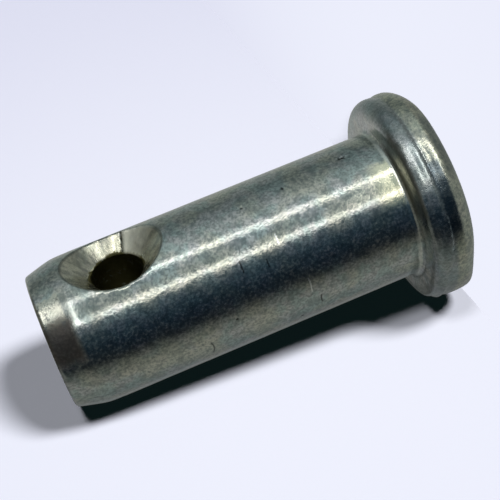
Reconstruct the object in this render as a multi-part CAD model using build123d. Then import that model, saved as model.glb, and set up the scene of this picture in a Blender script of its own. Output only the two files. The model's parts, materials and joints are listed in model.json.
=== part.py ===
from build123d import *
import math
import os

# A headed clevis pin, cold-headed and turned from one piece of steel.
# It stands on its head: the head's top face lies on z = 0, the pin's own axis is +Z
# and the cross-hole runs along Y. All sizes are in millimetres and degrees.

# Shank and point
shank_diameter = 7.9
under_head_length = 19.05
point_length = 1.5
point_setback = 0.43
point_corner_radius = 0.6
end_edge_radius = 0.2

# Head, from its top face on z = 0 to its underside
head_diameter = 11.2
head_height = 2.45
shoulder_width = 1.15
shoulder_height = 0.92
rim_land_height = 0.1
seam_height = 1.1
seam_setback = 0.13
lower_lobe_setback = 0.03
underside_edge_radius = 0.75
neck_fillet_radius = 0.25

# Cross-hole
hole_diameter = 2.7
hole_to_end = 4.4
countersink_diameter = 5.3
countersink_angle = 90.0
rim_radius = 0.08

# Places worked out from the sizes above
shank_radius = shank_diameter / 2
head_radius = head_diameter / 2
lower_lobe_radius = head_radius - lower_lobe_setback
underside_z = head_height
end_z = head_height + under_head_length
hole_z = end_z - hole_to_end

# The rounds under the head share the ring between the shank and the lower lobe
underside_ring = lower_lobe_radius - shank_radius
underside_edge = min(underside_edge_radius, underside_ring / 2)
neck_fillet = min(neck_fillet_radius, underside_ring / 3)


def head_outline():
    """The head's half section, from the middle of its top face to the foot of the shank."""
    shoulder_centre = (head_radius - shoulder_width, shoulder_height)
    land_end = (head_radius, shoulder_height + rim_land_height)
    seam = (head_radius - seam_setback, underside_z - seam_height)
    lobe_side = (lower_lobe_radius, underside_z - underside_edge)
    lobe_centre = (lower_lobe_radius - underside_edge, underside_z - underside_edge)
    neck_centre = (shank_radius + neck_fillet, underside_z + neck_fillet)

    Line((0, 0), (shoulder_centre[0], 0))
    EllipticalCenterArc(shoulder_centre, shoulder_width, shoulder_height, -90, arc_size=90)
    Line((head_radius, shoulder_height), land_end)
    # The upper lobe falls in to the seam, and the lower one rises out of it again
    TangentArc(land_end, seam, tangent=(0, 1))
    TangentArc(lobe_side, seam, tangent=(0, -1))
    CenterArc(lobe_centre, underside_edge, 0, 90)
    Line((lobe_centre[0], underside_z), (neck_centre[0], underside_z))
    CenterArc(neck_centre, neck_fillet, -90, -90)


def shank_outline():
    """The shank's half section, from above the neck fillet over the point to the axis."""
    neck_top = (shank_radius, underside_z + neck_fillet)
    point_corner = (shank_radius, end_z - point_length)
    end_edge = (shank_radius - point_setback, end_z)

    point = FilletPolyline(neck_top, point_corner, end_edge, (0, end_z),
                           radius=[point_corner_radius, end_edge_radius])
    Line(point @ 1, (0, 0))


def blank():
    """The pin before drilling: its half section turned about the axis."""
    with BuildPart() as turned:
        with BuildSketch(Plane.XZ):
            with BuildLine():
                head_outline()
                shank_outline()
            make_face()
        revolve(axis=Axis.Z)
    return turned.part


def cross_hole():
    """The drill's path along Y, with a countersink cone at each mouth."""
    half_angle = math.radians(countersink_angle / 2)
    run_out = shank_radius
    sink_depth = (countersink_diameter - hole_diameter) / 2 / math.tan(half_angle)
    outer_radius = countersink_diameter / 2 + run_out * math.tan(half_angle)
    with BuildPart() as tool:
        with Locations(Location((0, 0, hole_z), (90, 0, 0))):
            Cylinder(hole_diameter / 2, shank_diameter)
        for turn in (-90, 90):
            with Locations(Location((0, 0, hole_z), (turn, 0, 0))):
                with Locations((0, 0, shank_radius - sink_depth)):
                    Cone(hole_diameter / 2, outer_radius, sink_depth + run_out,
                         align=(Align.CENTER, Align.CENTER, Align.MIN))
    return tool.part


def clevis_pin():
    """The finished pin, with the countersinks' saddle-shaped rims broken by a small round."""
    drilled = blank() - cross_hole()
    plain_edges = (GeomType.CIRCLE, GeomType.LINE)
    rims = [edge for edge in drilled.edges() if edge.geom_type not in plain_edges]
    return fillet(rims, rim_radius)


os.makedirs("parts", exist_ok=True)
export_step(clevis_pin(), "parts/clevis_pin.step")
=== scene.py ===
import json
import math

import bmesh
import bpy
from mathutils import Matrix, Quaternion, Vector, noise


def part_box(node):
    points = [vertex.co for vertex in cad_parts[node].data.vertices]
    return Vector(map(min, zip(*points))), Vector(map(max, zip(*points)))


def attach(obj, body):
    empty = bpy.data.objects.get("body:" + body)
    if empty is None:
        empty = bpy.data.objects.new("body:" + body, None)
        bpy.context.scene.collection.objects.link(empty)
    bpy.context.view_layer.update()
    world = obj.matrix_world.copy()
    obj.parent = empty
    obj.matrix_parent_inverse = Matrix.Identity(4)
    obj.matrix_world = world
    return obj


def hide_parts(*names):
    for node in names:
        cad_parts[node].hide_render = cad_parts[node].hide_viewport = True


# A zinc-plated clevis pin, standing on its head on a pale floor, with a pale card close
# behind it. The photograph shows it lying, so the camera is rolled to see it that way.
# Lengths are in metres and angles in degrees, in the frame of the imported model.

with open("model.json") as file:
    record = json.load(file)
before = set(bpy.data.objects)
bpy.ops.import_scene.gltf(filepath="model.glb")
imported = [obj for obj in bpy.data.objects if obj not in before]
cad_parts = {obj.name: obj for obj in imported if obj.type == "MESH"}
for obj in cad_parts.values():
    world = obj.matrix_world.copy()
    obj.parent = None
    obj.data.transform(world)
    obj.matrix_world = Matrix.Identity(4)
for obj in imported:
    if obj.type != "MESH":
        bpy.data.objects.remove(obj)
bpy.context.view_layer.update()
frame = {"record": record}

MM = 0.001
PIN = "clevis_pin"

mounts = {mount["name"]: mount for mount in frame["record"]["mounts"]}
high_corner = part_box(PIN)[1]

# Sizes read from the frame
shank_radius = mounts["shank"]["dims"]["r_mm"] * MM
hole_radius = mounts["cross_hole"]["dims"]["r_mm"] * MM
hole_z = mounts["cross_hole"]["pos_m"][2]
underside_z = mounts["head_underside"]["pos_m"][2]
head_radius = high_corner.x
end_z = high_corner.z

# The point and the head, as the pin's own drawing has them
point_length = 1.5 * MM
point_setback = 0.43 * MM
point_corner_radius = 0.6 * MM
end_edge_radius = 0.2 * MM
shoulder_width = 1.15 * MM
shoulder_height = 0.92 * MM
rim_land_height = 0.1 * MM
seam_z = underside_z - 1.1 * MM
seam_setback = 0.13 * MM
lower_lobe_radius = head_radius - 0.03 * MM
underside_edge = 0.75 * MM
neck_fillet = 0.25 * MM
countersink_radius = 2.65 * MM
sink_foot = shank_radius - (countersink_radius - hole_radius)

# The camera's side of the pin. Angles round the pin are measured from there, positive
# towards the lower edge of the picture.
camera_side = -139.0

# The mesh
turn_steps = 360
drill_steps = 240
remesh_depth = 8
remesh_scale = 0.83
sharp_edge = math.radians(14)


def arc(centre, radii, start, sweep, steps):
    """Points along a round or an elliptical arc in the half section."""
    points = []
    for step in range(steps + 1):
        angle = math.radians(start + sweep * step / steps)
        points.append((centre[0] + radii[0] * math.cos(angle),
                       centre[1] + radii[1] * math.sin(angle)))
    return points


def arc_from_upright(top, run, rise, steps):
    """Points of an arc that leaves its first point along the axis and ends run away, rise on."""
    radius = (run * run + rise * rise) / (2 * abs(run))
    side = math.copysign(radius, run)
    sweep = math.asin(abs(rise) / radius)
    points = []
    for step in range(steps + 1):
        angle = sweep * step / steps
        height = math.copysign(radius * math.sin(angle), rise)
        points.append((top[0] + side * (1 - math.cos(angle)), top[1] + height))
    return points


def half_section():
    """The turned pin's half section as (radius, height) points, from the head's top face up."""
    shoulder_centre = (head_radius - shoulder_width, shoulder_height)
    land_end = (head_radius, shoulder_height + rim_land_height)
    lobe_side = (lower_lobe_radius, underside_z - underside_edge)
    lobe_centre = (lower_lobe_radius - underside_edge, lobe_side[1])
    lobe_run = head_radius - seam_setback - lower_lobe_radius
    neck_centre = (shank_radius + neck_fillet, underside_z + neck_fillet)
    bevel = math.degrees(math.atan2(point_setback, point_length))
    corner_cut = point_corner_radius * math.tan(math.radians(bevel / 2))
    corner_centre = (shank_radius - point_corner_radius, end_z - point_length - corner_cut)
    edge_cut = end_edge_radius * math.tan(math.radians(45 - bevel / 2))
    edge_centre = (shank_radius - point_setback - edge_cut, end_z - end_edge_radius)

    points = [(0, 0)]
    points += arc(shoulder_centre, (shoulder_width, shoulder_height), -90, 90, 16)
    points += arc_from_upright(land_end, -seam_setback, seam_z - land_end[1], 6)
    points += arc_from_upright(lobe_side, lobe_run, seam_z - lobe_side[1], 6)[::-1][1:]
    points += arc(lobe_centre, (underside_edge,) * 2, 0, 90, 12)[1:]
    points += arc(neck_centre, (neck_fillet,) * 2, -90, -90, 6)
    points += arc(corner_centre, (point_corner_radius,) * 2, 0, bevel, 5)
    points += arc(edge_centre, (end_edge_radius,) * 2, bevel, 90 - bevel, 5)
    points += [(0, end_z)]
    return points


# Points, edges and faces are put in order along this direction
mesh_order = Vector((1.0, 1.414, 3.142))


def put_in_order(shape):
    """Spin leaves its points and faces in an order that changes, so they are sorted."""
    shape.verts.sort(key=lambda vert: vert.co.dot(mesh_order))
    shape.edges.sort(key=lambda edge: (edge.verts[0].co + edge.verts[1].co).dot(mesh_order))
    shape.faces.sort(key=lambda face: face.calc_center_median().dot(mesh_order))


def spun(points, axis, centre, steps):
    """A closed solid turned from a chain of points about an axis."""
    shape = bmesh.new()
    chain = [shape.verts.new(point) for point in points]
    edges = [shape.edges.new(pair) for pair in zip(chain, chain[1:])]
    bmesh.ops.spin(shape, geom=chain + edges, axis=axis, cent=centre, angle=math.tau,
                   steps=steps, use_merge=True, use_duplicate=False)
    bmesh.ops.remove_doubles(shape, verts=shape.verts, dist=1e-7)
    bmesh.ops.recalc_face_normals(shape, faces=shape.faces)
    put_in_order(shape)
    return shape


def as_object(shape, name):
    """The finished shape as an object at the origin."""
    mesh = bpy.data.meshes.new(name)
    shape.to_mesh(mesh)
    shape.free()
    made = bpy.data.objects.new(name, mesh)
    bpy.context.scene.collection.objects.link(made)
    return made


def turned_blank():
    """The pin before drilling, turned from its half section."""
    points = [(radius, 0, height) for radius, height in half_section()]
    return as_object(spun(points, (0, 0, 1), (0, 0, 0), turn_steps), "turned_blank")


def drill():
    """The path of the drill and its two countersinks, along Y."""
    reach = 2 * shank_radius
    mouth = hole_radius + reach - sink_foot
    outline = [(0, -reach), (mouth, -reach), (hole_radius, -sink_foot),
               (hole_radius, sink_foot), (mouth, reach), (0, reach)]
    points = [(radius, along, hole_z) for radius, along in outline]
    return as_object(spun(points, (0, 1, 0), (0, 0, hole_z), drill_steps), "drill")


def drilled_mesh():
    """The blank with the cross-hole cut, as an even mesh of small squares."""
    blank = turned_blank()
    cutter = drill()
    cut = blank.modifiers.new("cross_hole", "BOOLEAN")
    cut.operation = "DIFFERENCE"
    cut.solver = "EXACT"
    cut.object = cutter
    even = blank.modifiers.new("even_mesh", "REMESH")
    even.mode = "SHARP"
    even.octree_depth = remesh_depth
    even.scale = remesh_scale
    even.use_remove_disconnected = False
    ready = blank.evaluated_get(bpy.context.evaluated_depsgraph_get())
    mesh = bpy.data.meshes.new_from_object(ready)
    bpy.data.objects.remove(blank)
    bpy.data.objects.remove(cutter)
    return mesh


def soften_edges(shape):
    """Rounds the sharp edges a little, as barrelling and plating leave them."""
    sharp = [edge for edge in shape.edges if edge.calc_face_angle(0) > sharp_edge]
    near = {vert for edge in sharp for vert in edge.verts}
    near |= {edge.other_vert(vert) for vert in near for edge in vert.link_edges}
    near = sorted(near, key=lambda vert: vert.index)
    for _ in range(2):
        bmesh.ops.smooth_vert(shape, verts=near, factor=0.5,
                              use_axis_x=True, use_axis_y=True, use_axis_z=True)


def from_pin_axis(place):
    """How far a place is from the pin's axis."""
    return math.hypot(place.x, place.y)


def angle_round(place):
    """The angle of a place round the pin from the camera's side, from -180 to 180."""
    angle = camera_side - math.degrees(math.atan2(place.y, place.x))
    return (angle + 180) % 360 - 180


def bell(value, middle, width):
    """1 in the middle, falling off to next to nothing a width and a half away."""
    return math.exp(-((value - middle) / width) ** 2 * 2)


def unevenness(place, size):
    """Even noise from -1 to 1 whose waves are about size long."""
    return noise.noise(place / size)


# The bevel was cut longer on the camera's side, with a soft corner where it leaves the shank
bevel_extra = 0.25 * MM
bevel_ripple = 0.03 * MM
bevel_longest_at = 15
corner_blend = 0.32 * MM
end_clearance = 0.01 * MM


def cut_bevel(place, angle):
    """The point's bevel is not quite square to the pin: it is longest on the camera's side."""
    length = point_length + bevel_extra * max(0.0, math.cos(math.radians(angle - bevel_longest_at)))
    length += bevel_ripple * unevenness(place, 0.6 * MM)
    over = place.z - (end_z - length)
    over = 0.5 * (over + math.hypot(over, corner_blend))
    radius = from_pin_axis(place)
    if radius < hole_radius:
        return
    limit = shank_radius - (point_setback - end_clearance) * over / length
    if radius > limit:
        place.xy *= limit / radius


# How far the seam rises at most, and how far from it the lobes follow
seam_rise = 0.45 * MM
seam_shift_reach = 1.0 * MM

# Where the head's shoulder stands proud or is worn: angle round the pin, width, height
shoulder_swells = [
    (-48, 30, 0.09 * MM),
    (52, 22, -0.09 * MM),
    (85, 20, 0.18 * MM),
]


def bump_shoulder(place, angle):
    """The head's shoulder is squarer at one side and fuller worn at the other."""
    near = bell(place.z, 0.25 * MM, 0.6 * MM) * bell(from_pin_axis(place), 5.2 * MM, 0.7 * MM)
    swell = sum(height * bell(angle, middle, width) for middle, width, height in shoulder_swells)
    return near * swell


def square_lower_lobe(place, angle):
    """The underside's edge is squarer than drawn, but for the upper edge's side."""
    at_lower_side = bell(angle, 90, 34)
    near = max(at_lower_side, 0.8 * bell(angle, 15, 50))
    radius = from_pin_axis(place)
    if near < 0.01 or radius < 4.7 * MM:
        return 0.0
    corner = 0.15 * MM * bell(place.z, 2.36 * MM, 0.22 * MM) * bell(radius, 5.35 * MM, 0.32 * MM)
    worn = 0.06 * MM * bell(place.z, 2.0 * MM, 0.3 * MM) * at_lower_side
    return near * corner - worn


def shift_seam(place, angle):
    """The seam rises towards the underside on the lower edge's side."""
    away = (place.z - seam_z) / seam_shift_reach
    if abs(away) < 1 and from_pin_axis(place) > 5.0 * MM:
        near = 0.5 + 0.5 * math.cos(math.pi * away)
        place.z += seam_rise * near * bell(angle, 78, 60)


def seam_waver(place, angle):
    """The seam between the head's two lobes wanders and fills in places."""
    wander = 0.05 * MM * math.sin(math.radians(3 * angle))
    near = bell(place.z, seam_z + wander, 0.16 * MM)
    filled = 0.06 * MM * bell(angle, 35, 35) * bell(place.z, seam_z, 0.3 * MM)
    return near * (0.03 * MM + 0.035 * MM * unevenness(place, 0.9 * MM)) + filled


# Marks on the shank: angle round the pin, height, length along the pin, width, depth
dents = [
    (-50, 4.5 * MM, 0.42 * MM, 0.13 * MM, 0.05 * MM),
    (-40, 10.3 * MM, 0.12 * MM, 0.14 * MM, 0.03 * MM),
    (-43, 8.0 * MM, 0.10 * MM, 0.12 * MM, 0.03 * MM),
    (-6, 9.4 * MM, 0.08 * MM, 0.35 * MM, 0.02 * MM),
    (-6, 11.9 * MM, 0.08 * MM, 0.30 * MM, 0.02 * MM),
    (62, 8.6 * MM, 0.09 * MM, 0.50 * MM, 0.03 * MM),
    (110, 13.0 * MM, 0.6 * MM, 0.12 * MM, 0.04 * MM),
    (160, 6.2 * MM, 0.15 * MM, 0.5 * MM, 0.04 * MM),
    (-110, 14.5 * MM, 0.3 * MM, 0.16 * MM, 0.04 * MM),
    (-150, 9.0 * MM, 0.14 * MM, 0.14 * MM, 0.04 * MM),
]


def dent_depth(place, angle):
    """How far the dents near a place go in there."""
    depth = 0.0
    for middle, height, length, width, deep in dents:
        along = (place.z - height) / length
        turn = (angle - middle + 180) % 360 - 180
        across = math.radians(turn) * shank_radius / width
        spread = along * along + across * across
        if spread < 4:
            depth += deep * math.exp(-2 * spread)
    return depth


# The angle round the hole of the score in the countersink
score_turn = -25


def sink_chatter(place):
    """Chatter and one deeper score that the countersink left in its cones."""
    radius = math.hypot(place.x, place.z - hole_z)
    cone_radius = hole_radius + abs(place.y) - sink_foot
    if abs(place.y) < sink_foot or abs(radius - cone_radius) > 0.03 * MM:
        return 0.0
    turn = math.degrees(math.atan2(place.z - hole_z, place.x))
    score = 0.05 * MM * bell(turn, score_turn + 1500 * (radius - hole_radius), 3)
    steps = 0.012 * MM * noise.noise(Vector((turn / 14, radius / (0.9 * MM), 3.7)))
    return steps - score


# The slight unevenness of the whole surface: height and length of its waves
surface_waves = [(0.006 * MM, 2.5 * MM), (0.003 * MM, 0.5 * MM)]


def wear(shape):
    """Moves the points of the even mesh to where making and use have left them."""
    shape.normal_update()
    for vert in shape.verts:
        place = vert.co
        angle = angle_round(place)
        radius = from_pin_axis(place)
        push = sum(height * unevenness(place, wave) for height, wave in surface_waves)
        if place.z < underside_z and radius > head_radius - 1.6 * MM:
            push += bump_shoulder(place, angle) + seam_waver(place, angle)
            push += square_lower_lobe(place, angle)
        if abs(radius - shank_radius) < 0.01 * MM:
            push -= dent_depth(place, angle)
        push += sink_chatter(place)
        vert.co = place + vert.normal * push
        if place.z < underside_z:
            shift_seam(vert.co, angle)
        if place.z > end_z - 2.5 * MM:
            cut_bevel(vert.co, angle)
        vert.co.z = min(max(vert.co.z, 0.0), end_z)


def finished_pin():
    """The drilled pin with its edges softened and its wear, ready for its plate."""
    shape = bmesh.new()
    shape.from_mesh(drilled_mesh())
    soften_edges(shape)
    wear(shape)
    bmesh.ops.recalc_face_normals(shape, faces=shape.faces)
    for face in shape.faces:
        face.smooth = True
    return as_object(shape, "clevis_pin_finished")


class Socket:
    """A shader socket that can be used in sums, and adds the nodes that they need."""

    def __init__(self, tree, source=None):
        self.tree = tree
        self.source = source

    def node(self, kind, settings=None, inputs=None, out=0):
        """Adds a node: its settings first, then the values or links of its sockets."""
        made = self.tree.nodes.new(kind)
        for name, value in (settings or {}).items():
            if name == "stops":
                set_stops(made.color_ramp, value)
            else:
                setattr(made, name, value)
        for name, value in (inputs or {}).items():
            if isinstance(value, Socket):
                self.tree.links.new(value.source, made.inputs[name])
            else:
                made.inputs[name].default_value = value
        return Socket(self.tree, made.outputs[out] if made.outputs else None)

    def math(self, operation, *values):
        return self.node("ShaderNodeMath", {"operation": operation}, dict(enumerate(values)))

    def __add__(self, other):
        return self.math("ADD", self, other)

    def __radd__(self, other):
        return self.math("ADD", other, self)

    def __sub__(self, other):
        return self.math("SUBTRACT", self, other)

    def __rsub__(self, other):
        return self.math("SUBTRACT", other, self)

    def __mul__(self, other):
        return self.math("MULTIPLY", self, other)

    def __rmul__(self, other):
        return self.math("MULTIPLY", other, self)

    def __truediv__(self, other):
        return self.math("DIVIDE", self, other)

    def __rtruediv__(self, other):
        return self.math("DIVIDE", other, self)


def set_stops(ramp_settings, stops):
    """Fills a colour ramp from (position, colour) pairs."""
    while len(ramp_settings.elements) > 1:
        ramp_settings.elements.remove(ramp_settings.elements[-1])
    ramp_settings.elements[0].position = stops[0][0]
    ramp_settings.elements[0].color = (*stops[0][1], 1)
    for position, colour in stops[1:]:
        ramp_settings.elements.new(position).color = (*colour, 1)


def empty_tree(owner):
    """The emptied node tree of a material or a world."""
    owner.use_nodes = True
    owner.node_tree.nodes.clear()
    return Socket(owner.node_tree)


def ramp(value, low, high):
    """0 below low, 1 above high, smooth between, and the other way round where low is higher."""
    return value.node("ShaderNodeMapRange", {"interpolation_type": "SMOOTHSTEP", "clamp": True},
                      {"Value": value, "From Min": low, "From Max": high})


def band(value, start, full, last, end):
    """0 below start, 1 from full to last, and 0 again from end on."""
    return ramp(value, start, full) * ramp(value, end, last)


def mixed(factor, first, second):
    """A colour between two others."""
    colours = {0: factor, 6: with_alpha(first), 7: with_alpha(second)}
    return factor.node("ShaderNodeMix", {"data_type": "RGBA"}, colours, 2)


def with_alpha(colour):
    """A colour as a Mix node's socket takes it."""
    return colour if isinstance(colour, Socket) else (*colour, 1)


# Colours of the zinc plate, and of the painted shade, painted highlight and painted glow on it
cool_plate = (0.53, 0.62, 0.61)
grey_plate = (0.65, 0.65, 0.66)
warm_plate = (0.70, 0.68, 0.57)
dark_plate = (0.20, 0.23, 0.23)
lower_lobe_plate = (0.33, 0.37, 0.41)
upper_lobe_plate = (0.74, 0.72, 0.54)
head_shade_paint = (0.08, 0.11, 0.14)
fillet_highlight_colour = (0.92, 0.91, 0.84)
neck_glow_colour = (1.0, 0.97, 0.72)
stained_plate = (0.16, 0.20, 0.20)

# Colours of the bare steel and the dirt, of the painted shade under the head, of the grime and
# painted shade in the bore, and of a painted highlight in the countersink
sink_steel_dark = (0.36, 0.36, 0.28)
sink_steel_light = (0.74, 0.72, 0.56)
sink_steel_lit = (0.85, 0.84, 0.76)
bare_steel_dark = (0.20, 0.20, 0.18)
bare_steel_light = (0.60, 0.59, 0.51)
bevel_corner_grey = (0.20, 0.22, 0.21)
brown_stain = (0.065, 0.052, 0.047)
neck_shade_colour = (0.12, 0.12, 0.10)
rim_line_colour = (0.10, 0.11, 0.11)
score_colour = (0.05, 0.045, 0.03)
bore_grime_and_shade_colour = (0.14, 0.13, 0.06)
pit_colour = (0.03, 0.035, 0.035)

# Dark pits on the shank: angle round the pin, height, size
pit_marks = [
    (-50, 4.45 * MM, 0.16 * MM),
    (-50, 4.65 * MM, 0.14 * MM),
    (-40, 10.3 * MM, 0.10 * MM),
    (-43, 8.0 * MM, 0.09 * MM),
    (38, 12.6 * MM, 0.08 * MM),
    (66, 9.3 * MM, 0.10 * MM),
]

# Thin scratches round the shank: angle, height, reach, lean, shade
scratch_marks = [
    (2, 11.53 * MM, 0.004, 0.0, 0.04),
    (6.5, 10.26 * MM, 0.002, 0.0, 0.08),
    (35, 8.58 * MM, 0.008, 6 * MM, 1.0),
    (52, 8.2 * MM, 0.004, -20 * MM, 0.05),
    (-7, 9.4 * MM, 0.003, 0.0, 1.0),
    (57, 14.1 * MM, 0.010, 12 * MM, 0.08),
]


class PinSurface:
    """Places on the pin as the shader reads them, and the clouds that its tones follow."""

    def __init__(self, start):
        self.start = start
        self.place = start.node("ShaderNodeTexCoord", out="Object")
        self.across, self.along, self.up = (
            start.node("ShaderNodeSeparateXYZ", None, {0: self.place}, axis) for axis in range(3))
        self.over_hole = self.up - hole_z
        squared = self.across * self.across
        self.from_bore = start.math("SQRT", squared + self.over_hole * self.over_hole)
        self.from_axis = start.math("SQRT", squared + self.along * self.along)
        self.grain = self.cloud(0.15 * MM, 4.0, 0.6)
        self.patch = self.cloud(0.5 * MM, 3.0, 0.6)
        self.ragged = 0.05 * (self.patch - 0.5) + 0.03 * (self.grain - 0.5)
        self.on_head = ramp(self.up, underside_z + 0.1 * MM, underside_z - 0.1 * MM)
        self.off_end = ramp(self.from_axis, 3.38 * MM, 3.48 * MM)

    def cloud(self, size, detail, roughness):
        """Cloudy noise about 0.5 whose clouds are about size across."""
        return self.start.node("ShaderNodeTexNoise", None,
                               {"Vector": self.place, "Scale": 1 / size, "Detail": detail,
                                "Roughness": roughness})

    def facing(self, angle):
        """The cosine of how far round the pin the surface lies from an angle."""
        turn = math.radians(camera_side - angle)
        return (math.cos(turn) * self.across + math.sin(turn) * self.along) / self.from_axis

    def side(self, angle, outside, inside):
        """1 on the side at an angle, given by two cosines, with a ragged border."""
        return ramp(self.facing(angle) + self.ragged, outside, inside)


def mottled_plate(pin_surface):
    """The zinc plate: cool and grey by clouds, warmer in drifts, with a fine dark grain."""
    up = pin_surface.up
    drift = pin_surface.cloud(1.7 * MM, 2.0, 0.5)
    tint = pin_surface.cloud(0.7 * MM, 2.0, 0.5)
    tone = mixed(ramp(tint, 0.38, 0.62), cool_plate, grey_plate)
    tone = mixed(0.7 * ramp(drift, 0.42, 0.62), tone, warm_plate)
    lobes = mixed(ramp(up, 1.5 * MM, 1.2 * MM), lower_lobe_plate, upper_lobe_plate)
    tone = mixed(0.6 * pin_surface.on_head, tone, lobes)
    tone = mixed(0.7 * ramp(pin_surface.grain, 0.66, 0.32), tone, dark_plate)
    return mixed(0.42 * ramp(pin_surface.patch, 0.52, 0.36), tone, dark_plate)


def painted_head_shade(pin_surface, tone):
    """Painted shade on the head's upper lobe beside its highlight, and on its shoulder below it, both
    on the camera's side.
    """
    up = pin_surface.up
    behind = band(up, 0.80 * MM, 0.95 * MM, 1.42 * MM, 1.62 * MM)
    behind = behind * pin_surface.side(8, 0.925, 0.955)
    tone = mixed(0.85 * behind, tone, head_shade_paint)
    shoulder = ramp(up, 0.74 * MM, 0.60 * MM) * pin_surface.side(-20, 0.93, 0.97)
    shoulder = shoulder * ramp(pin_surface.from_axis, 4.5 * MM, 4.9 * MM)
    return mixed(0.6 * shoulder, tone, dark_plate)


def neck_tones(pin_surface, tone, neck_shade):
    """Painted shade in the corner under the head on the camera's side, a painted highlight along its
    fillet, and a painted glow above it.
    """
    over_neck = pin_surface.up - underside_z
    fillet = band(over_neck, 0.06 * MM, 0.14 * MM, 0.24 * MM, 0.34 * MM)
    tone = mixed(0.35 * fillet, tone, fillet_highlight_colour)
    tone = mixed(0.75 * neck_shade, tone, neck_shade_colour)
    neck_glow = band(over_neck, 0.15 * MM, 0.3 * MM, 0.6 * MM, 1.8 * MM)
    neck_glow = neck_glow * pin_surface.side(-14, 0.94, 0.97)
    return mixed(0.8 * neck_glow, tone, neck_glow_colour)


def marked_shank(pin_surface, tone):
    """Pits, thin scratches, and a darker stain behind the point."""
    start = pin_surface.start
    uneven = pin_surface.grain - 0.5
    pits = 0.0
    for angle, height, size in pit_marks:
        turn = math.radians(camera_side - angle)
        pit = Vector((shank_radius * math.cos(turn), shank_radius * math.sin(turn), height))
        off_pit = start.node("ShaderNodeVectorMath", {"operation": "DISTANCE"},
                             {0: pin_surface.place, 1: pit}, "Value")
        pits = pits + ramp(off_pit + 0.3 * MM * uneven, size, 0.5 * size)
    tone = mixed(start.math("MINIMUM", 0.85 * pits, 1.0), tone, pit_colour)
    for angle, height, reach, lean, shade in scratch_marks:
        turned_off = 1.0 - pin_surface.facing(angle)
        off_scratch = pin_surface.up - height - lean * turned_off + 0.1 * MM * uneven
        off_scratch = start.math("ABSOLUTE", off_scratch)
        mark = ramp(off_scratch, 0.055 * MM, 0.02 * MM) * ramp(turned_off, reach, 0.6 * reach)
        tone = mixed(0.8 * mark, tone, (shade, shade, shade))
    stain = ramp(pin_surface.facing(-15) + 0.2 * (pin_surface.patch - 0.5), 0.96, 0.99)
    stain = stain * ramp(pin_surface.up, 18.3 * MM, 18.9 * MM) * pin_surface.off_end
    return mixed(0.5 * stain, tone, stained_plate)


def on_sink(pin_surface):
    """1 on the two cones of the countersink."""
    start = pin_surface.start
    depth = start.math("ABSOLUTE", pin_surface.along)
    off_cone = start.math("ABSOLUTE", pin_surface.from_bore - depth - (hole_radius - sink_foot))
    return ramp(off_cone, 0.08 * MM, 0.03 * MM) * ramp(pin_surface.from_bore, 2.9 * MM, 2.8 * MM)


def sink_score(pin_surface, in_sink):
    """The dark score that runs down the cone from its rim to the hole."""
    aslant = math.radians(score_turn)
    off_score = math.cos(aslant) * pin_surface.over_hole - math.sin(aslant) * pin_surface.across
    off_score = pin_surface.start.math("ABSOLUTE", off_score)
    score = in_sink * ramp(off_score + 0.2 * MM * (pin_surface.grain - 0.5), 0.09 * MM, 0.03 * MM)
    return score * ramp(pin_surface.across, 0.3 * MM, 0.6 * MM)


def sink_tones(pin_surface, tone, in_sink, turn_in_sink):
    """The countersink: warmer bare steel with cutter streaks, and a dark line at its rim."""
    start = pin_surface.start
    streaks = start.node("ShaderNodeCombineXYZ", None,
                         {0: 7.0 * turn_in_sink, 1: pin_surface.from_bore / (0.6 * MM)})
    streaks = start.node("ShaderNodeTexNoise", None, {"Vector": streaks, "Scale": 1.0, "Detail": 3.0})
    cut_steel = mixed(ramp(streaks, 0.40, 0.62), sink_steel_dark, sink_steel_light)
    tone = mixed(0.6 * in_sink, tone, cut_steel)
    rim = in_sink * ramp(pin_surface.from_axis, shank_radius - 0.12 * MM, shank_radius - 0.06 * MM)
    tone = mixed(0.5 * rim, tone, rim_line_colour)
    return mixed(0.85 * sink_score(pin_surface, in_sink), tone, score_colour)


def bevel_tones(pin_surface, tone, brown):
    """The bevel at the point: a bare worn patch behind a grey corner, and a brown one next to it."""
    up = pin_surface.up
    corner = band(up, 19.80 * MM, 19.95 * MM, 20.15 * MM, 20.35 * MM)
    tone = mixed(0.6 * corner * pin_surface.side(-18, 0.965, 0.985), tone, bevel_corner_grey)
    bare = pin_surface.off_end * ramp(up, 20.15 * MM, 20.30 * MM)
    bare = bare * pin_surface.side(-21, 0.975, 0.985)
    brushed = ramp(pin_surface.grain + 0.7 * (pin_surface.patch - 0.5), 0.34, 0.50)
    tone = mixed(0.7 * bare, tone, mixed(brushed, bare_steel_dark, bare_steel_light))
    return mixed(0.9 * brown, tone, brown_stain)


def plate_height(pin_surface):
    """Grain and patches, stronger on the head's rim, where turning also left fine rings."""
    turned = pin_surface.start.node("ShaderNodeCombineXYZ", None,
                                    {0: 9.0 * pin_surface.across / pin_surface.from_axis,
                                     1: 9.0 * pin_surface.along / pin_surface.from_axis,
                                     2: pin_surface.up / (0.12 * MM)})
    rings = pin_surface.start.node("ShaderNodeTexNoise", None,
                                   {"Vector": turned, "Scale": 1.0, "Detail": 2.0})
    on_rim = pin_surface.on_head * ramp(pin_surface.from_axis, 4.9 * MM, 5.1 * MM)
    patches = (0.02 + 0.13 * on_rim) * pin_surface.patch
    return 0.06 * pin_surface.grain + patches + 0.05 * on_rim * rings


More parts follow.
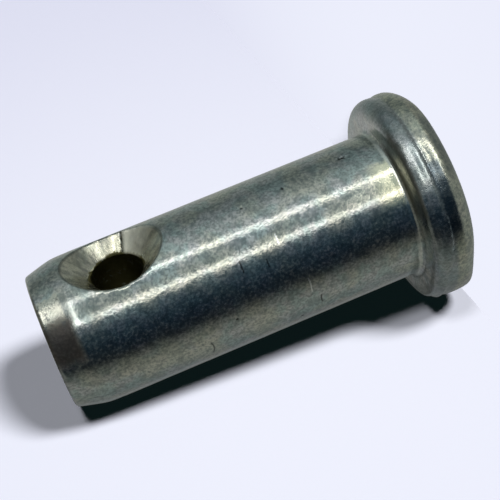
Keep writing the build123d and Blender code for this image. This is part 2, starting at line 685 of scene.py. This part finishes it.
def plated_steel():
    """Dull zinc plate over steel: a fine mottle in cool and warm greys, a bore darkened partly by
    grime and partly by painted shade, and painted shade and highlights on the head and neck.
    """
    material = bpy.data.materials.new("plated_steel")
    start = empty_tree(material)
    pin_surface = PinSurface(start)

    # Mask of the painted shade in the corner under the head, on the camera's side; it also makes the
    # plate rougher there
    neck_shade = ramp(pin_surface.up, 2.25 * MM, 2.35 * MM)
    neck_shade = neck_shade * ramp(pin_surface.from_axis, 4.02 * MM, 4.10 * MM)
    neck_shade = neck_shade * pin_surface.side(-10, 0.86, 0.92)
    in_sink = on_sink(pin_surface)
    turn_in_sink = start.math("ARCTAN2", pin_surface.over_hole, pin_surface.across)
    lit_side = in_sink * band(turn_in_sink, -1.4, -1.1, -0.6, -0.45)
    # The bore darkens inwards: partly grime, partly painted shade
    bore_grime_and_shade = ramp(pin_surface.from_bore + 0.6 * MM * (pin_surface.patch - 0.5), 1.47 * MM, 1.39 * MM)
    brown = ramp(pin_surface.up, 19.85 * MM, 20.25 * MM) * pin_surface.off_end
    brown = brown * pin_surface.side(5, 0.925, 0.985)

    tone = mottled_plate(pin_surface)
    # Painted shade on the head, on the camera's side
    tone = painted_head_shade(pin_surface, tone)
    # Painted shade, painted highlight and painted glow at the neck
    tone = neck_tones(pin_surface, tone, neck_shade)
    tone = marked_shank(pin_surface, tone)
    tone = sink_tones(pin_surface, tone, in_sink, turn_in_sink)
    tone = mixed(bore_grime_and_shade, tone, bore_grime_and_shade_colour)
    tone = mixed(0.5 * lit_side, tone, sink_steel_lit)
    tone = bevel_tones(pin_surface, tone, brown)

    rough = 0.13 + 0.08 * ramp(pin_surface.patch, 0.35, 0.65) + 0.2 * bore_grime_and_shade
    rough = rough + 0.07 * pin_surface.on_head + 0.08 * in_sink + 0.18 * lit_side
    rough = rough + 0.05 * brown + 0.22 * neck_shade
    metal = 1.0 - 0.6 * brown - 0.12 * ramp(pin_surface.grain, 0.50, 0.68)
    bump = start.node("ShaderNodeBump", None,
                      {"Strength": 1.0, "Distance": 0.1 * MM, "Height": plate_height(pin_surface)})
    shader = start.node("ShaderNodeBsdfPrincipled", None,
                        {"Base Color": tone, "Metallic": metal, "Roughness": rough, "Normal": bump})
    start.node("ShaderNodeOutputMaterial", None, {"Surface": shader})
    return material


# The studio: the side of the pin that the card stands behind, and the paper
card_side = -53.0
paper_reach = 400 * MM
paper_fade = (60 * MM, 150 * MM)
# Centre, reach and colour of a pool of light painted on the paper
painted_light_centre = Vector((-5.1, 4.6, 8.9)) * MM
painted_light_reach = 70 * MM
painted_light_paper = (0.86, 0.875, 0.985)
background = (0.72, 0.73, 0.87)
floor_drop = 0.01 * MM

# The room round the pin, as the shank mirrors it: an angle, and the light from there
room_light = [
    (-180, (0.50, 0.50, 0.48)),
    (-135, (0.28, 0.32, 0.30)),
    (-108, (0.15, 0.18, 0.18)),
    (-85, (0.28, 0.33, 0.33)),
    (-62, (0.56, 0.62, 0.60)),
    (-40, (0.40, 0.48, 0.51)),
    (-18, (0.36, 0.42, 0.42)),
    (-4, (0.16, 0.21, 0.24)),
    (14, (0.04, 0.07, 0.095)),
    (36, (0.012, 0.024, 0.038)),
    (58, (0.020, 0.025, 0.031)),
    (76, (0.17, 0.18, 0.16)),
    (100, (0.30, 0.31, 0.28)),
    (128, (0.21, 0.235, 0.225)),
    (142, (0.19, 0.20, 0.20)),
    (152, (0.25, 0.26, 0.26)),
    (162, (0.21, 0.22, 0.22)),
    (171, (0.08, 0.085, 0.08)),
    (176, (0.11, 0.115, 0.11)),
    (180, (0.50, 0.50, 0.48)),
]
room_floor = (0.25, 0.27, 0.26)
room_ceiling = (0.15, 0.155, 0.14)
shadow_light = (0.004, 0.009, 0.008)

# A bright frame round a darker pane, which leaves two streaks along the shank, and a light
# for the point: name, angle, lift, distance, size, brightness
frame_colour = (1.0, 0.96, 0.88)
strip_lights = [
    ("frame_left", -43.5, 3, 0.3, (0.024, 0.24), 3.5),
    ("frame_right", -9.9, 3, 0.3, (0.028, 0.24), 3.1),
    ("frame_top", -26, 18, 0.33, (0.19, 0.055), 3.0),
    ("frame_foot", -26, -26, 0.31, (0.19, 0.05), 4.0),
    ("point_light", -46, 33, 0.42, (0.15, 0.06), 2.4),
]


def heading(angle, lift=0.0):
    """The direction at an angle from the camera's side and at a lift above the level."""
    turn = math.radians(camera_side - angle)
    rise = math.radians(lift)
    return Vector((math.cos(turn) * math.cos(rise), math.sin(turn) * math.cos(rise), math.sin(rise)))


def studio_world():
    """The room that the plate mirrors, and a pale background behind it for the camera."""
    world = bpy.data.worlds.new("studio")
    bpy.context.scene.world = world
    start = empty_tree(world)
    direction = start.node("ShaderNodeTexCoord", out="Generated")
    across, along, up = (start.node("ShaderNodeSeparateXYZ", None, {0: direction}, axis)
                         for axis in range(3))
    turn = start.math("ARCTAN2", along, across)
    part = start.math("FRACT", (math.radians(camera_side) - turn) / math.tau + 0.5)
    stops = [((angle + 180) / 360, colour) for angle, colour in room_light]
    room = start.node("ShaderNodeValToRGB", {"stops": stops}, {"Fac": part})
    room = mixed(ramp(up, -0.40, -0.60), room, room_floor)
    room = mixed(ramp(up, 0.55, 0.80), room, room_ceiling)
    camera_ray = start.node("ShaderNodeLightPath", out="Is Camera Ray")
    glossy_ray = start.node("ShaderNodeLightPath", out="Is Glossy Ray")
    colour = mixed(glossy_ray, shadow_light, room)
    colour = mixed(camera_ray, colour, background)
    shader = start.node("ShaderNodeBackground", None, {"Color": colour, "Strength": 1.0})
    start.node("ShaderNodeOutputWorld", None, {"Surface": shader})


def add_light(name, kind, energy, direction, distance, colour=(1, 1, 1)):
    """A lamp off in a direction from the pin's middle, which it faces."""
    middle = Vector((0, 0, 0.5 * end_z))
    data = bpy.data.lights.new(name, kind)
    data.energy = energy
    data.color = colour
    made = bpy.data.objects.new(name, data)
    bpy.context.scene.collection.objects.link(made)
    made.location = middle + direction * distance
    made.rotation_euler = (-direction).to_track_quat("-Z", "Y").to_euler()
    return made


def light_only(lamp, thing):
    """Keeps a lamp's light off everything else."""
    lit = bpy.data.collections.new(lamp.name)
    lit.objects.link(thing)
    lamp.light_linking.receiver_collection = lit


def window_frame():
    """Flat rectangular lamps for the pin alone."""
    for name, angle, lift, distance, size, brightness in strip_lights:
        energy = brightness * math.pi * size[0] * size[1]
        made = add_light(name, "AREA", energy, heading(angle, lift), distance, frame_colour)
        made.data.shape = "RECTANGLE"
        made.data.size, made.data.size_y = size
        made.visible_camera = False
        light_only(made, pin)


def paper_light(name, lit_paper, direction, softness, brightness):
    """A soft sun for one sheet of paper alone, given by how bright white paper gets."""
    made = add_light(name, "SUN", 1.0, direction, 0.3)
    facing = direction.dot(lit_paper.data.polygons[0].normal)
    made.data.energy = math.pi * brightness / facing
    made.data.angle = math.radians(softness)
    made.data.cycles.use_multiple_importance_sampling = False
    light_only(made, lit_paper)


def paper(name):
    """Pale one-sided paper with a painted pool of light below the pin, that fades into the background
    further off.
    """
    material = bpy.data.materials.new(name)
    start = empty_tree(material)
    place = start.node("ShaderNodeTexCoord", out="Object")
    distance = start.node("ShaderNodeVectorMath", {"operation": "LENGTH"}, {0: place}, "Value")
    back = start.node("ShaderNodeNewGeometry", out="Backfacing")
    gone = start.math("MAXIMUM", ramp(distance, *paper_fade), back)
    off_spot = start.node("ShaderNodeVectorMath", {"operation": "DISTANCE"},
                          {0: place, 1: painted_light_centre}, "Value")
    pale = mixed(ramp(off_spot, 0.0, painted_light_reach), painted_light_paper, background)
    white = start.node("ShaderNodeBsdfDiffuse", None, {"Color": pale})
    clear = start.node("ShaderNodeBsdfTransparent")
    shader = start.node("ShaderNodeMixShader", None, {0: gone, 1: white, 2: clear})
    start.node("ShaderNodeOutputMaterial", None, {"Surface": shader})
    return material


def sheet(name, corner, side, rise):
    """A flat sheet of paper from a corner and its two sides. The pin doesn't mirror it."""
    shape = bmesh.new()
    corners = [corner, corner + side, corner + side + rise, corner + rise]
    shape.faces.new([shape.verts.new(point) for point in corners])
    made = as_object(shape, name)
    made.data.materials.append(paper(name + "_paper"))
    made.visible_diffuse = False
    made.visible_glossy = False
    made.visible_transmission = False
    made.visible_shadow = False
    return made


def floor():
    """The floor, a hair below the head, so that the two don't fight where they touch."""
    made = sheet("floor", Vector((-paper_reach, -paper_reach, -floor_drop)),
                 Vector((2 * paper_reach, 0, 0)), Vector((0, 2 * paper_reach, 0)))
    paper_light("floor_sun", made, heading(-1, 16), 14, 1.0)


def card():
    """The card behind the pin, which touches the head's rim and leans on the point."""
    front = heading(card_side)
    along = Vector((-front.y, front.x, 0))
    rim = (head_radius, shoulder_height)
    tip = (shank_radius, end_z - point_length)
    lean = (tip[0] - rim[0]) / (tip[1] - rim[1])
    foot = -front * (rim[0] - lean * rim[1])
    rise = Vector((0, 0, 1)) - front * lean
    below = 0.01 * rise
    made = sheet("card", foot - along * paper_reach - below,
                 2 * paper_reach * along, rise * paper_reach)
    paper_light("card_sun_low", made, heading(-32, -30), 15, 0.72)
    paper_light("card_sun_high", made, heading(-38, 4), 13, 0.28)


def photo_camera():
    """The photograph's camera, found from the pin's outline."""
    place = Vector((-43.49, -37.81, 18.39)) * MM
    aim = Vector((0.33, -0.38, 10.28)) * MM
    roll = math.radians(-112.3)
    data = bpy.data.cameras.new("camera")
    data.lens = 80.42
    data.sensor_width = 36.0
    data.clip_start = 1 * MM
    made = bpy.data.objects.new("camera", data)
    bpy.context.scene.collection.objects.link(made)
    made.location = place
    turn = (aim - place).to_track_quat("-Z", "Y") @ Quaternion((0, 0, 1), roll)
    made.rotation_euler = turn.to_euler()
    bpy.context.scene.camera = made


bpy.context.scene.view_settings.view_transform = "Standard"

pin = finished_pin()
pin.visible_diffuse = False
pin.data.materials.append(plated_steel())
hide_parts(PIN)
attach(pin, "root")

photo_camera()
studio_world()
window_frame()
floor()
card()
